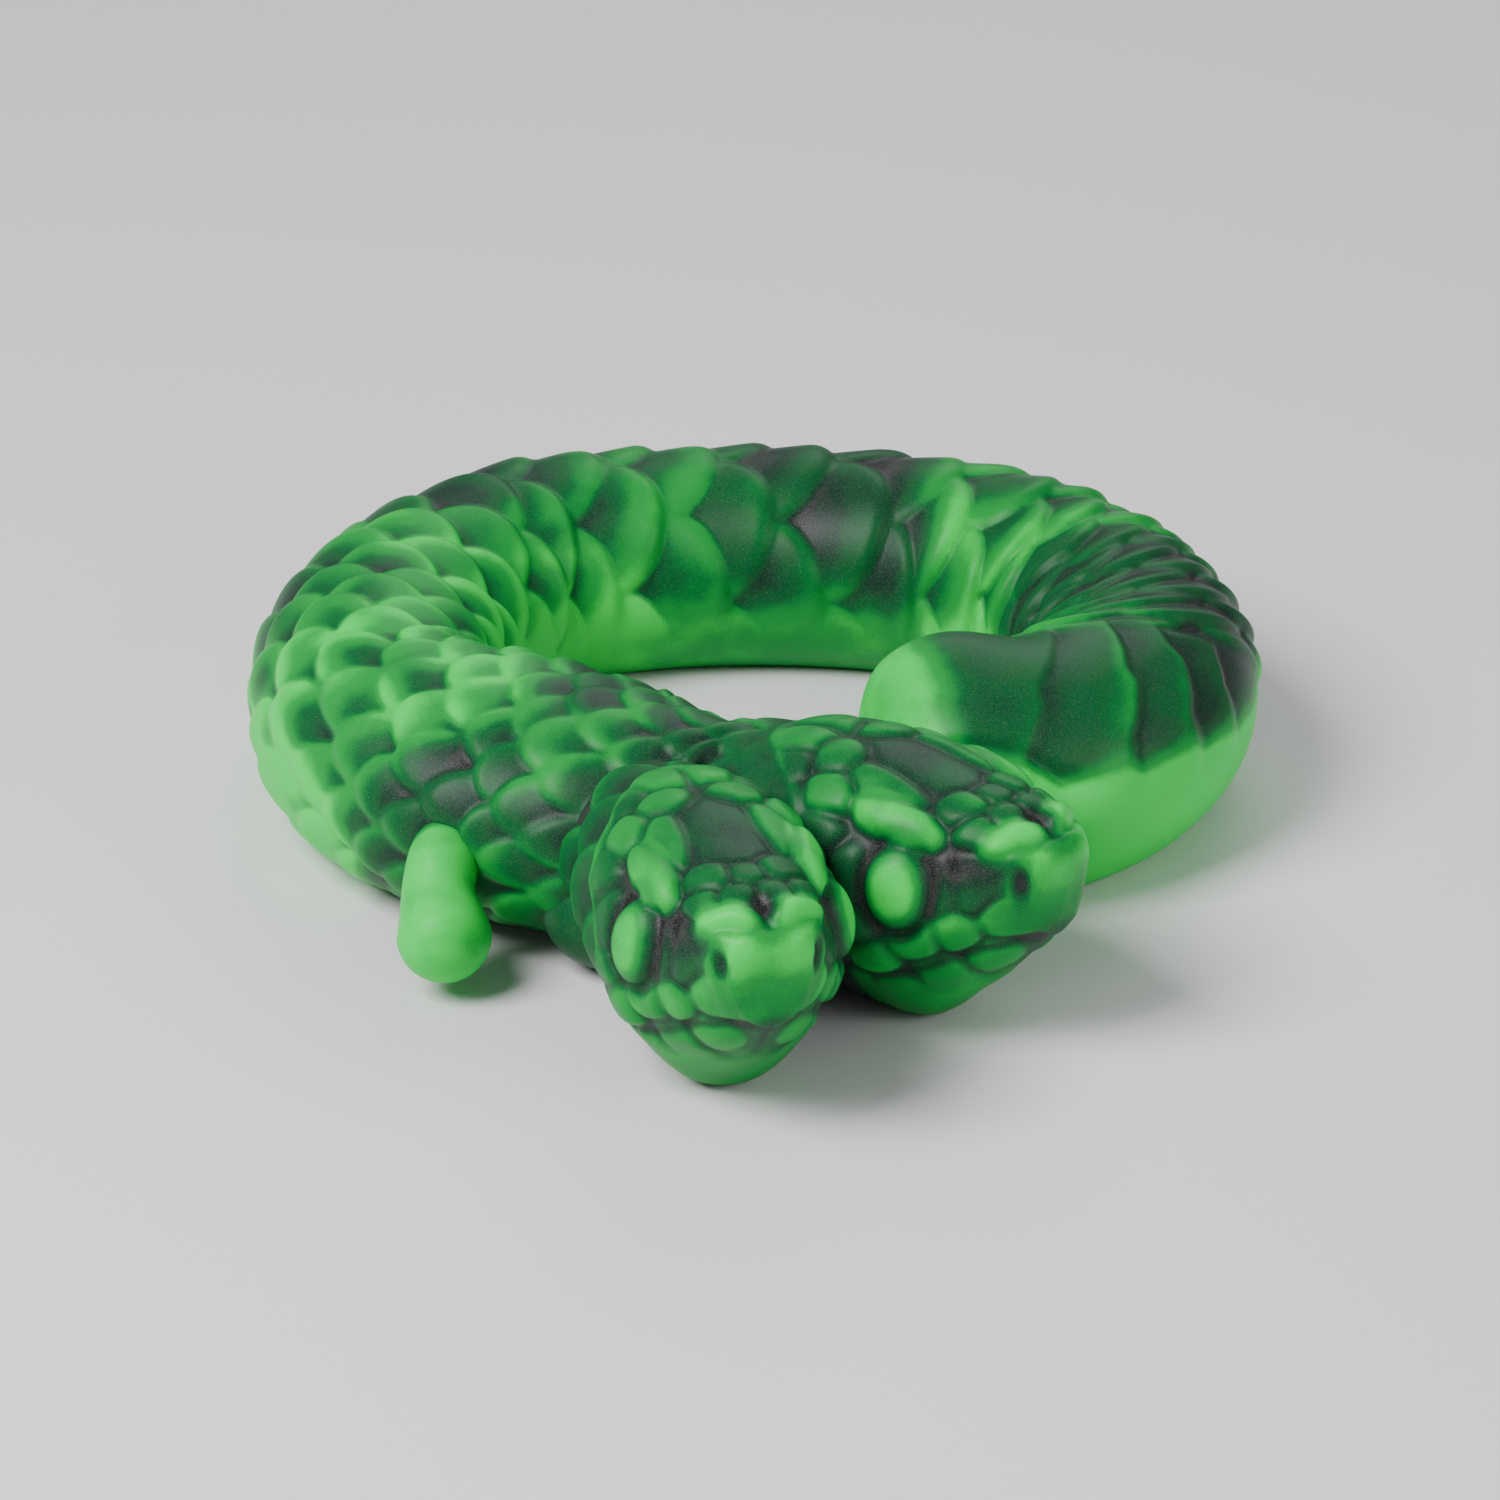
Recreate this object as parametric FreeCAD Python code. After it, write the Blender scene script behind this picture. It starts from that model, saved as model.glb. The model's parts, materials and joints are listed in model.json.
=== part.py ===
import FreeCAD, Part
import math
import os

# Two-headed snake ring, one soft silicone casting, in millimetres.
# The snake lies in a ring on a flat surface: the two heads are at the front (-Y), the body
# goes round by the left, the back and the right, and its thick end tucks in behind the
# right head. A short tail tip stands out of the front left of the neck.
# The casting is one piece. It is divided here where the rubber bends: short flex bands
# stand between the lengths of body and behind each head.

V = FreeCAD.Vector

# Driving dimensions.
FLAT_CUT = 0.0            # the casting's flat underside
BAND_LIFT = 0.3           # flex bands stand this far above the flat underside
RING_BAND = 7.0           # length of a flex band in the ring, along the body
STATION_STEP = 5.0        # distance between the lofted sections of the body
SECTION_POINTS = 16
LOFT_DEGREE = 3
FLAT_TOLERANCE = 1e-4     # a face this near the flat underside counts as lying in it
NECK_ROOT_FACE = 3.0      # neck faces, measured forward from each head's rear reference
NECK_SLICE_REAR = 5.4
NECK_SLICE_FRONT = 6.4
HEAD_FACE = 9.4
CHEEK_GAP = 0.6           # gap between the left head and the right head and neck
END_GAP = 2.2             # gap between the thick end and the pad that holds it
DOME_STEPS = (22, 42, 59, 73, 83)   # degrees round the thick end's dome
DOME_POWER = 2.4          # above 2 the dome is blunter than a round one
SHIFT = V(-0.02, 16.07, 0.0)  # moves the finished casting so that its box is centred on the origin

# Body centreline from the heads round to the thick end:
# x, y, height of the section's centre, half width, centre to top.
BODY = [
    (0.0, -31.4, 10.6, 8.6, 9.2),
    (-6.4, -30.6, 10.5, 10.9, 9.9),
    (-11.5, -28.5, 10.5, 12.9, 10.3),
    (-16.6, -25.2, 10.3, 14.2, 10.4),
    (-23.8, -20.4, 10.0, 14.1, 10.7),
    (-31.4, -12.7, 9.4, 11.1, 10.8),
    (-33.0, 0.0, 9.0, 11.2, 10.8),
    (-30.5, 12.5, 9.0, 10.9, 10.5),
    (-22.0, 23.8, 9.0, 10.3, 10.2),
    (-9.0, 28.4, 8.9, 10.0, 10.0),
    (5.3, 29.0, 8.8, 9.9, 9.9),
    (18.5, 25.9, 8.8, 10.0, 9.9),
    (28.2, 18.0, 9.0, 10.2, 10.0),
    (33.1, 6.5, 9.2, 10.4, 10.2),
    (33.2, -3.5, 9.4, 10.8, 10.5),
    (30.2, -11.0, 9.6, 11.3, 10.8),
    (25.6, -15.8, 9.6, 11.5, 11.0),
    (20.5, -18.2, 9.6, 11.4, 11.3),
    (14.5, -20.2, 9.6, 11.0, 11.6),
]
HINGE_LEFT_ROW = 5.6      # where the left flex band sits, counted in rows of BODY
HINGE_RIGHT_ROW = 12.60   # where the right flex band sits
FORK_ROW = 2.9            # the fork of the necks starts at this row
CORE_ROW = 1.4            # from here on the body turns into the right neck
END_ROW = 17.1            # the thick end's dome is centred on this row

# Head, seen along its own axis: distance forward, half width, axis to top, axis to underside.
HEAD = [
    (0.0, 8.4, 8.8, 9.3),
    (4.0, 9.0, 9.8, 10.2),
    (8.0, 9.9, 10.6, 11.0),
    (12.0, 10.3, 11.0, 11.6),
    (16.0, 10.3, 10.8, 11.95),
    (20.0, 9.8, 10.2, 11.8),
    (24.0, 8.6, 9.8, 10.0),
    (27.6, 7.2, 9.3, 7.4),
    (30.2, 5.7, 8.4, 4.8),
    (32.0, 4.0, 7.0, 2.2),
    (32.9, 2.2, 5.4, 0.2),
]
CHIN_FLAT = 14.0          # the underside is flat over this many degrees each side of its middle
JAW_TAPER = 0.30          # the lower jaw is this much narrower than the cheeks
SQUARENESS = 2.3          # exponent of the head's superellipse section
HEAD_TILT = 2.5           # both snouts point up by this many degrees
HEAD_AXIS_Z = 11.2
LEFT_HEAD_AT = (-7.6, -39.2, -74.0)    # rear reference x, y and the way the head points
RIGHT_HEAD_AT = (0.6, -31.8, -41.0)

# Eyes: distance forward, sideways, up from the head's axis, and the bulge's three radii.
EYE_AT = (21.4, 7.4, 2.6)
EYE_RADII = (3.1, 2.6, 3.4)
THROAT_AT = (16.0, -5.4, -6.4)   # the right head's throat spreads on the surface it lies on
THROAT_RADII = (6.4, 5.6, 5.4)

# Tail tip: x, y, z, radius along its short way out of the neck.
TAIL = [
    (-25.9, -32.0, 10.0, 3.0),
    (-26.3, -37.0, 9.7, 3.1),
    (-26.4, -39.4, 8.0, 3.4),
    (-25.9, -42.0, 5.6, 4.0),
]
TAIL_FLEX = (1.0, 1.75)   # the tail's flex band, counted in rows of TAIL


def mix(rows, t):
    """Smooth value of a table of rows at a fractional row number."""
    last = len(rows) - 1
    i = max(0, min(int(math.floor(t)), last - 1))
    f = t - i
    a = rows[max(i - 1, 0)]
    b = rows[i]
    c = rows[i + 1]
    d = rows[min(i + 2, last)]
    out = []
    for p, q, r, s in zip(a, b, c, d):
        m = (r - p) / 2.0
        n = (s - q) / 2.0
        h00 = 2 * f ** 3 - 3 * f ** 2 + 1
        h10 = f ** 3 - 2 * f ** 2 + f
        h01 = -2 * f ** 3 + 3 * f ** 2
        h11 = f ** 3 - f ** 2
        out.append(h00 * q + h10 * m + h01 * r + h11 * n)
    return out


def heading(rows, t):
    """Unit direction along the table's x, y path at a fractional row number."""
    e = 0.02
    a = mix(rows, max(t - e, 0.0))
    b = mix(rows, min(t + e, len(rows) - 1.0))
    way = V(b[0] - a[0], b[1] - a[1], 0)
    way.normalize()
    return way


def row_after(rows, t, distance):
    """Row number that lies the given distance along the path from row t (sign = way)."""
    step = 0.005 if distance > 0 else -0.005
    gone = 0.0
    here = mix(rows, t)
    while gone < abs(distance):
        t += step
        there = mix(rows, t)
        gone += math.hypot(there[0] - here[0], there[1] - here[1])
        here = there
    return t


def flat_wire(points):
    """Closed wire: a smooth curve through the points and a straight flat joining its ends."""
    curve = Part.BSplineCurve()
    curve.interpolate(points)
    return Part.Wire([curve.toShape(), Part.makeLine(points[-1], points[0])])


def upright_section(x, y, z, half, rise, way, floor):
    """Round section standing across a direction, cut off flat at the given height."""
    side = V(-way.y, way.x, 0)
    low = math.asin(max(-0.95, (floor - z) / rise))
    points = []
    for k in range(SECTION_POINTS + 1):
        a = low + (math.pi - 2 * low) * k / SECTION_POINTS
        up = floor if k in (0, SECTION_POINTS) else z + rise * math.sin(a)
        across = side * (half * math.cos(a))
        points.append(V(x + across.x, y + across.y, up))
    return flat_wire(points)


def body_section(t, floor=FLAT_CUT):
    """Section of the body at a fractional row number."""
    x, y, z, half, rise = mix(BODY, t)
    return upright_section(x, y, z, half, rise, heading(BODY, t), floor)


def body_sections(start, end, floor=FLAT_CUT):
    """Evenly spaced sections of the body between two row numbers."""
    length = 0.0
    a = mix(BODY, start)
    steps = 40
    for k in range(1, steps + 1):
        b = mix(BODY, start + (end - start) * k / steps)
        length += math.hypot(b[0] - a[0], b[1] - a[1])
        a = b
    count = max(3, int(round(length / STATION_STEP)) + 1)
    return [body_section(start + (end - start) * k / (count - 1), floor) for k in range(count)]


def loft(sections):
    return Part.makeLoft(sections, True, False, False, LOFT_DEGREE)


def flat_underside(solid):
    """The same solid with its underside made one plane where it lies in the flat."""
    faces = []
    for face in solid.Faces:
        if face.optimalBoundingBox(False, False).ZMax < FLAT_CUT + FLAT_TOLERANCE:
            rim = [edge.Curve.toShape(edge.FirstParameter, edge.LastParameter)
                   for edge in face.OuterWire.OrderedEdges]
            face = Part.Face(Part.Wire(rim))
        faces.append(face)
    shell = Part.Shell(faces)
    shell.sewShape()
    return Part.Solid(shell)


def dome_sections(t):
    """Sections that close the body off with a dome past row t."""
    x, y, z, half, rise = mix(BODY, t)
    way = heading(BODY, t)
    out = []
    for degrees in DOME_STEPS:
        s = math.sin(math.radians(degrees))
        k = (1.0 - s ** DOME_POWER) ** (1.0 / DOME_POWER)
        past = way * (half * s)
        floor = FLAT_CUT + z * (1.0 - k)
        out.append(upright_section(x + past.x, y + past.y, z, half * k, rise * k, way, floor))
    return out


def ellipsoid(centre, radii):
    ball = Part.makeSphere(1.0)
    stretch = FreeCAD.Matrix()
    stretch.scale(V(*radii))
    ball = ball.transformGeometry(stretch)
    ball.translate(V(*centre))
    return ball


def head_place(at):
    """Placement of a head's own axes: X forward, Y to its left, Z up."""
    x, y, turn = at
    yaw = FreeCAD.Rotation(V(0, 0, 1), turn)
    tilt = FreeCAD.Rotation(V(0, 1, 0), -HEAD_TILT)
    return FreeCAD.Placement(V(x, y, HEAD_AXIS_Z), yaw.multiply(tilt))


def head_row(forward):
    """Half width, rise and drop of the head at a distance along its axis."""
    for i in range(len(HEAD) - 1):
        if forward <= HEAD[i + 1][0] or i == len(HEAD) - 2:
            f = (forward - HEAD[i][0]) / (HEAD[i + 1][0] - HEAD[i][0])
            return mix(HEAD, i + f)[1:]


def head_section(forward, grow=0.0):
    """Section across a head in its own axes: wide cheeks and a narrower lower jaw."""
    half, rise, drop = [size + grow for size in head_row(forward)]
    points = []
    for k in range(SECTION_POINTS + 1):
        a = math.radians(CHIN_FLAT - 90 + (360 - 2 * CHIN_FLAT) * k / SECTION_POINTS)
        c = math.cos(a)
        s = math.sin(a)
        f = (abs(c) ** SQUARENESS + abs(s) ** SQUARENESS) ** (-1.0 / SQUARENESS)
        up = (rise - drop) / 2.0 + (rise + drop) / 2.0 * s * f
        across = -half * c * f * (1.0 - JAW_TAPER * max(0.0, -s))
        points.append(V(forward, across, up))
    return flat_wire(points)


def head_length(at, start, end, grow=0.0):
    """Closed loft of a head or neck between two distances along its axis."""
    inner = [row[0] for row in HEAD if start + 0.8 < row[0] < end - 0.8]
    stations = [start] + inner + [end]
    if len(stations) < 3:
        stations = [start, (start + end) / 2.0, end]
    solid = loft([head_section(u, grow) for u in stations])
    solid.Placement = head_place(at)
    return solid


def face_wire(at, forward):
    """A head's section placed in the casting, to join a neck on to it."""
    wire = head_section(forward)
    wire.Placement = head_place(at)
    return wire


def eyes(at):
    forward, across, up = EYE_AT
    pair = []
    for side in (1, -1):
        ball = ellipsoid((forward, side * across, up), EYE_RADII)
        ball.Placement = head_place(at)
        pair.append(ball)
    return pair


def tail_section(t):
    x, y, z, r = mix(TAIL, t)
    e = 0.02
    a = mix(TAIL, max(t - e, 0.0))
    b = mix(TAIL, min(t + e, len(TAIL) - 1.0))
    way = V(b[0] - a[0], b[1] - a[1], b[2] - a[2])
    circle = Part.Circle(V(x, y, z), way, r)
    return Part.Wire([circle.toShape()])


def tail_length(start, end):
    rows = [start + (end - start) * k / 3.0 for k in range(4)]
    return Part.makeLoft([tail_section(t) for t in rows], True, False)


def one_solid(shape):
    """The largest solid of a cut or joined shape."""
    shape = shape.removeSplitter()
    return max(shape.Solids, key=lambda s: s.Volume)


def save(name, shape):
    solid = one_solid(shape)
    solid.translate(SHIFT)
    solid.exportStep("parts/" + name + ".step")
    box = solid.optimalBoundingBox(False, False)
    print("%-20s volume %8.1f valid %s  x %6.2f %6.2f  y %6.2f %6.2f  z %5.2f %5.2f" % (
        name, solid.Volume, solid.isValid(), box.XMin, box.XMax, box.YMin, box.YMax,
        box.ZMin, box.ZMax))
    return box


os.makedirs("parts", exist_ok=True)

# Ring hinges. The thick end turns on a point fixed to the neck, so the four points are
# the corners of a parallelogram and the back one follows from the other three.
left_pin = mix(BODY, HINGE_LEFT_ROW)
right_pin = mix(BODY, HINGE_RIGHT_ROW)
end_pin = mix(BODY, END_ROW)
back_pin = [left_pin[k] + right_pin[k] - end_pin[k] for k in range(2)]
back_row = min((7.5 + k * 0.01 for k in range(150)),
               key=lambda t: math.hypot(mix(BODY, t)[0] - back_pin[0],
                                        mix(BODY, t)[1] - back_pin[1]))


def band_rows(row):
    return row_after(BODY, row, -RING_BAND / 2), row_after(BODY, row, RING_BAND / 2)


left_a, left_b = band_rows(HINGE_LEFT_ROW)
back_a, back_b = band_rows(back_row)
right_a, right_b = band_rows(HINGE_RIGHT_ROW)

# Ring pieces. The flex bands stand just above the surface that the casting lies on.
left_bend = loft(body_sections(left_a, left_b, BAND_LIFT))
back_left = flat_underside(loft(body_sections(left_b, back_a)))
back_bend = loft(body_sections(back_a, back_b, BAND_LIFT))
back_right = flat_underside(loft(body_sections(back_b, right_a)))
right_bend = loft(body_sections(right_a, right_b, BAND_LIFT))
front_right = loft(body_sections(right_b, END_ROW) + dome_sections(END_ROW))

front_left = flat_underside(loft(body_sections(FORK_ROW, left_a)))

# Fork: the body runs on into the right neck, the left neck branches off it, and a pad
# behind the right neck holds the thick end.
turn = upright_section(-3.9, -31.7, 10.6, 8.8, 9.6, V(-0.88, 0.47, 0), 0.5)
core = loft([face_wire(RIGHT_HEAD_AT, NECK_ROOT_FACE), face_wire(RIGHT_HEAD_AT, 0.0), turn]
            + body_sections(CORE_ROW, FORK_ROW))
left_neck = loft([face_wire(LEFT_HEAD_AT, NECK_ROOT_FACE), face_wire(LEFT_HEAD_AT, 0.0),
                  upright_section(-10.0, -34.0, 10.4, 7.4, 8.4, V(-0.21, 0.98, 0), 2.0)])
sole = ellipsoid((-12.0, -36.4, 5.6), (6.0, 5.6, 5.4))
end_x, end_y, end_z, end_half, end_rise = mix(BODY, END_ROW)
end_room = ellipsoid((end_x, end_y, end_z),
                     (end_half + END_GAP, end_half + END_GAP, end_rise + END_GAP))
pad = ellipsoid((6.2, -24.6, 8.0), (7.0, 6.0, 7.4)).cut(end_room)
left_room = head_length(LEFT_HEAD_AT, NECK_ROOT_FACE, 34.0, CHEEK_GAP)
right_room = head_length(RIGHT_HEAD_AT, NECK_ROOT_FACE, 20.0, CHEEK_GAP)
fork = core.fuse(left_neck).fuse(sole).fuse(pad)
fork = fork.cut(left_room).cut(right_room).cut(front_left)

pieces = {
    "front_left": front_left,
    "neck_fork": fork,
    "tail_root": tail_length(0.0, TAIL_FLEX[0]).cut(front_left).cut(fork),
    "left_bend": left_bend,
    "back_left": back_left,
    "back_bend": back_bend,
    "back_right": back_right,
    "right_bend": right_bend,
    "front_right": front_right,
    "tail_flex": tail_length(*TAIL_FLEX).cut(front_left).cut(fork),
}

# Tail tip: the last of the tail, closed by a dome.
tip_end = TAIL[-1]
tail_tip = tail_length(TAIL_FLEX[1], len(TAIL) - 1.0).fuse(
    ellipsoid(tip_end[:3], (tip_end[3],) * 3))
pieces["tail_tip"] = tail_tip

# Necks and heads. The right neck and head are cut back where the left head stands.
for side, at in (("left", LEFT_HEAD_AT), ("right", RIGHT_HEAD_AT)):
    lengths = {
        side + "_neck_rear_flex": head_length(at, NECK_ROOT_FACE, NECK_SLICE_REAR),
        side + "_neck_middle": head_length(at, NECK_SLICE_REAR, NECK_SLICE_FRONT),
        side + "_neck_front_flex": head_length(at, NECK_SLICE_FRONT, HEAD_FACE),
        side + "_head": head_length(at, HEAD_FACE, HEAD[-1][0]).fuse(eyes(at)),
    }
    if side == "right":
        throat = ellipsoid(THROAT_AT, THROAT_RADII)
        throat.Placement = head_place(at)
        lengths["right_head"] = lengths["right_head"].fuse(throat)
    for name, shape in lengths.items():
        if side == "right":
            shape = shape.cut(left_room)
        pieces[name] = shape

whole = FreeCAD.BoundBox()
for name, shape in pieces.items():
    whole.add(save(name, shape))
print("whole", whole.XMin, whole.XMax, whole.YMin, whole.YMax, whole.ZMin, whole.ZMax)
for name, pin in (("left", left_pin), ("back", back_pin), ("right", right_pin), ("end", end_pin)):
    print(name, "pin", round(pin[0] + SHIFT.x, 3), round(pin[1] + SHIFT.y, 3))
tail_pin = mix(TAIL, sum(TAIL_FLEX) / 2.0)
print("tail pin", [round(c + s, 3) for c, s in zip(tail_pin, SHIFT)])
print("back row", back_row, mix(BODY, back_row)[:2])
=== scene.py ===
import json
import math

import bpy
import numpy as np
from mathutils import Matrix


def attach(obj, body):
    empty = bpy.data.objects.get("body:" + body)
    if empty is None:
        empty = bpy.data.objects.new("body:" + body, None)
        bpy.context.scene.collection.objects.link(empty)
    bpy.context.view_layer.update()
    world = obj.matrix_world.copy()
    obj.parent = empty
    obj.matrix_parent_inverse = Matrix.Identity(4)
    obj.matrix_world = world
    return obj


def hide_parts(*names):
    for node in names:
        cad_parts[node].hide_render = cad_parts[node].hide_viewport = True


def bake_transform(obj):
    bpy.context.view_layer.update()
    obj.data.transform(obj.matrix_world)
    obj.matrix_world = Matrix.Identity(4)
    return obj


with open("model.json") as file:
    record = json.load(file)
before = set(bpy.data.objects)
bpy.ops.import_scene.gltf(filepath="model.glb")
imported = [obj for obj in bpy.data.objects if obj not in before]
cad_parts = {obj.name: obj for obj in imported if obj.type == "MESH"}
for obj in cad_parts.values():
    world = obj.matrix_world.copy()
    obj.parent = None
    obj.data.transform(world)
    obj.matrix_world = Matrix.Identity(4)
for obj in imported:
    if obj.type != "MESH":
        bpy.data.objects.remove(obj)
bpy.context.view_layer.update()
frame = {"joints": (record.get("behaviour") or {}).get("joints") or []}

# One soft silicone casting: a snake with a double head, curled in a ring.
# All shapes are worked out in millimetres in the casting's layout and moved by SHIFT.
MM = 0.001
SHIFT = np.array([-0.02, 16.07, 0.0])

# Body centreline from the heads round to the thick end:
# x, y, height of the section's centre, half width, centre to top.
BODY = np.array([
    (0.0, -31.4, 10.6, 8.6, 9.2),
    (-6.4, -30.6, 10.5, 10.9, 9.9),
    (-11.5, -28.5, 10.5, 12.9, 10.3),
    (-16.6, -25.2, 10.3, 14.2, 10.4),
    (-23.8, -20.4, 10.0, 14.1, 10.7),
    (-31.4, -12.7, 9.4, 11.1, 10.8),
    (-33.0, 0.0, 9.0, 11.2, 10.8),
    (-30.5, 12.5, 9.0, 10.9, 10.5),
    (-22.0, 23.8, 9.0, 10.3, 10.2),
    (-9.0, 28.4, 8.9, 10.0, 10.0),
    (5.3, 29.0, 8.8, 9.9, 9.9),
    (18.5, 25.9, 8.8, 10.0, 9.9),
    (28.2, 18.0, 9.0, 10.2, 10.0),
    (33.1, 6.5, 9.2, 10.4, 10.2),
    (33.2, -3.5, 9.4, 10.8, 10.5),
    (30.2, -11.0, 9.6, 11.3, 10.8),
    (25.6, -15.8, 9.6, 11.5, 11.0),
    (20.5, -18.2, 9.6, 11.4, 11.3),
    (14.5, -20.2, 9.6, 11.0, 11.6),
])
END_ROW = 17.1
DOME_POWER = 2.4          # above 2 the thick end is blunter than a round one
# Head along its own axis: distance forward, half width, axis to top, axis to underside.
HEAD = np.array([
    (-4.0, 8.0, 8.2, 8.9),
    (0.0, 8.4, 8.8, 9.3),
    (4.0, 9.0, 9.8, 10.2),
    (8.0, 9.9, 10.6, 11.0),
    (12.0, 10.3, 11.0, 11.6),
    (16.0, 10.3, 10.8, 11.95),
    (20.0, 9.8, 10.2, 11.8),
    (24.0, 8.4, 9.8, 8.9),
    (27.6, 6.7, 9.3, 6.0),
    (30.2, 5.1, 8.4, 3.6),
    (31.9, 3.9, 7.2, 1.8),
    (32.8, 2.2, 5.8, 0.2),
    (33.1, 0.0, 3.0, -3.0),
])
JAW_TAPER = 0.30          # share by which a head's section narrows to its underside
SQUARENESS = 2.3          # of a head's section; 2 is round
HEAD_TILT = 2.5           # degrees that a head's axis rises
HEAD_AXIS_Z = 11.2
LEFT_HEAD_AT = (-7.6, -39.2, -74.0)      # x, y of the axis's zero, degrees it points to
RIGHT_HEAD_AT = (0.6, -31.8, -41.0)

HEAD_TO_NECK = (-3.9, -31.7, 10.6, 8.8, 9.6)   # body row between the right head and the neck
HEAD_TO_NECK_WAY = (-0.88, 0.47)               # direction of that section's axis
NECK_LOWEST = 0.5                              # it stays this far above the ground
# The left neck's root inside the trunk: a body row, the lowest level, distance forward.
LEFT_ROOT = (
    (-9.0, -36.0, 10.6, 7.6, 8.4, 1.5, -3.0),
    (-10.2, -32.4, 10.2, 6.8, 7.4, 2.5, -6.6),
    (-11.0, -29.5, 10.0, 6.0, 6.6, 3.0, -10.0),
)
LEFT_ROOT_WAY = (-0.24, 0.97)

STEP = 0.27               # grid spacing along a tube
AROUND = 272              # grid points round a tube
ROW_NUDGE = 0.02          # rows either side of a place, for the direction there
OUTLINE_WEIGHT = 0.35     # how far a section's change of outline counts as length
TURN = np.linspace(0.0, 2 * math.pi, AROUND, endpoint=False)
ring_turn = np.degrees(np.where(TURN > 1.5 * math.pi, TURN - 2 * math.pi, TURN))
folded_turn = np.where(ring_turn > 90.0, 180.0 - ring_turn, ring_turn)


def spline(rows, knots, at):
    """Smooth curve through rows at knots, read at the given places (any trailing shape)."""
    rows = np.asarray(rows, float)
    knots = np.asarray(knots, float)
    slope = np.gradient(rows, knots, axis=0)
    i = np.clip(np.searchsorted(knots, at, side="right") - 1, 0, len(knots) - 2)
    span = knots[i + 1] - knots[i]
    f = (at - knots[i]) / span
    shape = (-1,) + (1,) * (rows.ndim - 1)
    f = f.reshape(shape)
    span = span.reshape(shape)
    return ((2 * f ** 3 - 3 * f ** 2 + 1) * rows[i] + (f ** 3 - 2 * f ** 2 + f) * span * slope[i]
            + (3 * f ** 2 - 2 * f ** 3) * rows[i + 1] + (f ** 3 - f ** 2) * span * slope[i + 1])


def step(low, high, value):
    """Smooth 0 to 1 as value goes from low to high."""
    t = np.clip((value - low) / (high - low), 0.0, 1.0)
    return t * t * (3 - 2 * t)


def window(value, rise=None, fall=None):
    """Smooth 0 to 1 over the ramp rise and back to 0 over the ramp fall."""
    out = np.ones_like(value, dtype=float)
    if rise:
        out = out * step(rise[0], rise[1], value)
    if fall:
        out = out * (1.0 - step(fall[0], fall[1], value))
    return out


def body_row(t):
    """Body row (x, y, height, half width, centre to top) at row numbers t."""
    return spline(BODY, np.arange(len(BODY)), np.atleast_1d(np.asarray(t, float)))


def body_way(t):
    """Level unit directions along the body's centreline at row numbers t."""
    way = body_row(t + ROW_NUDGE)[:, :2] - body_row(t - ROW_NUDGE)[:, :2]
    return way / np.linalg.norm(way, axis=1)[:, None]


def body_section(t):
    """Section points (n, AROUND, 3) of the body at row numbers t."""
    x, y, z, half, rise = body_row(t).T
    way = body_way(t)
    sideways = half[:, None] * np.cos(TURN)
    out = np.empty((len(t), AROUND, 3))
    out[:, :, 0] = x[:, None] - way[:, 1:2] * sideways
    out[:, :, 1] = y[:, None] + way[:, 0:1] * sideways
    out[:, :, 2] = np.maximum(z[:, None] + rise[:, None] * np.sin(TURN), 0.0)
    return out


def head_axes(at):
    """Origin and the forward, left and up directions of a head."""
    x, y, turn = at
    a = math.radians(turn)
    t = math.radians(HEAD_TILT)
    forward = np.array([math.cos(a) * math.cos(t), math.sin(a) * math.cos(t), math.sin(t)])
    left = np.array([-math.sin(a), math.cos(a), 0.0])
    return np.array([x, y, HEAD_AXIS_Z]), forward, left, np.cross(forward, left)


def head_section(at, u):
    """Section points (n, AROUND, 3) of a head at distances u along its axis."""
    u = np.atleast_1d(np.asarray(u, float))
    half, rise, drop = spline(HEAD[:, 1:], HEAD[:, 0], u).T
    c = np.cos(TURN)
    s = np.sin(TURN)
    f = (np.abs(c) ** SQUARENESS + np.abs(s) ** SQUARENESS) ** (-1.0 / SQUARENESS)
    up = ((rise - drop) / 2)[:, None] + ((rise + drop) / 2)[:, None] * s * f
    out = -half[:, None] * c * f * (1 - JAW_TAPER * np.maximum(0.0, -s))
    origin, forward, left, high = head_axes(at)
    return (origin + u[:, None, None] * forward + out[:, :, None] * left
            + up[:, :, None] * high)


def normals_of(grid):
    """Outward normals of a tube grid (rows along it, columns round it)."""
    along = np.gradient(grid, axis=0)
    around = np.roll(grid, -1, axis=1) - np.roll(grid, 1, axis=1)
    n = np.cross(along, around)
    size = np.linalg.norm(n, axis=2, keepdims=True)
    n /= np.maximum(size, 1e-9)
    middle = grid.mean(axis=1, keepdims=True)
    flip = np.sign(((grid - middle) * n).sum(axis=2).mean())
    return n * flip


def resample(anchors):
    """Tube grid through anchor sections at even spacing, its rows' lengths and the anchors'."""
    middle = anchors.mean(axis=1)
    reach = np.abs(np.diff(anchors, axis=0)).max(axis=1)
    gap = np.maximum(np.linalg.norm(np.diff(middle, axis=0), axis=1),
                     OUTLINE_WEIGHT * reach.max(axis=1))
    knots = np.concatenate([[0.0], np.cumsum(gap)])
    count = int(knots[-1] / STEP) + 1
    at = np.linspace(0.0, knots[-1], count)
    return spline(anchors, knots, at), at, knots


def flat_section(x, y, z, half, rise, way, lowest):
    """Section (AROUND, 3) across a level direction way, cut off flat below lowest."""
    sideways = half * np.cos(TURN)
    return np.stack([x - way[1] * sideways, y + way[0] * sideways,
                     np.maximum(z + rise * np.sin(TURN), lowest)], axis=1)


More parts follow.
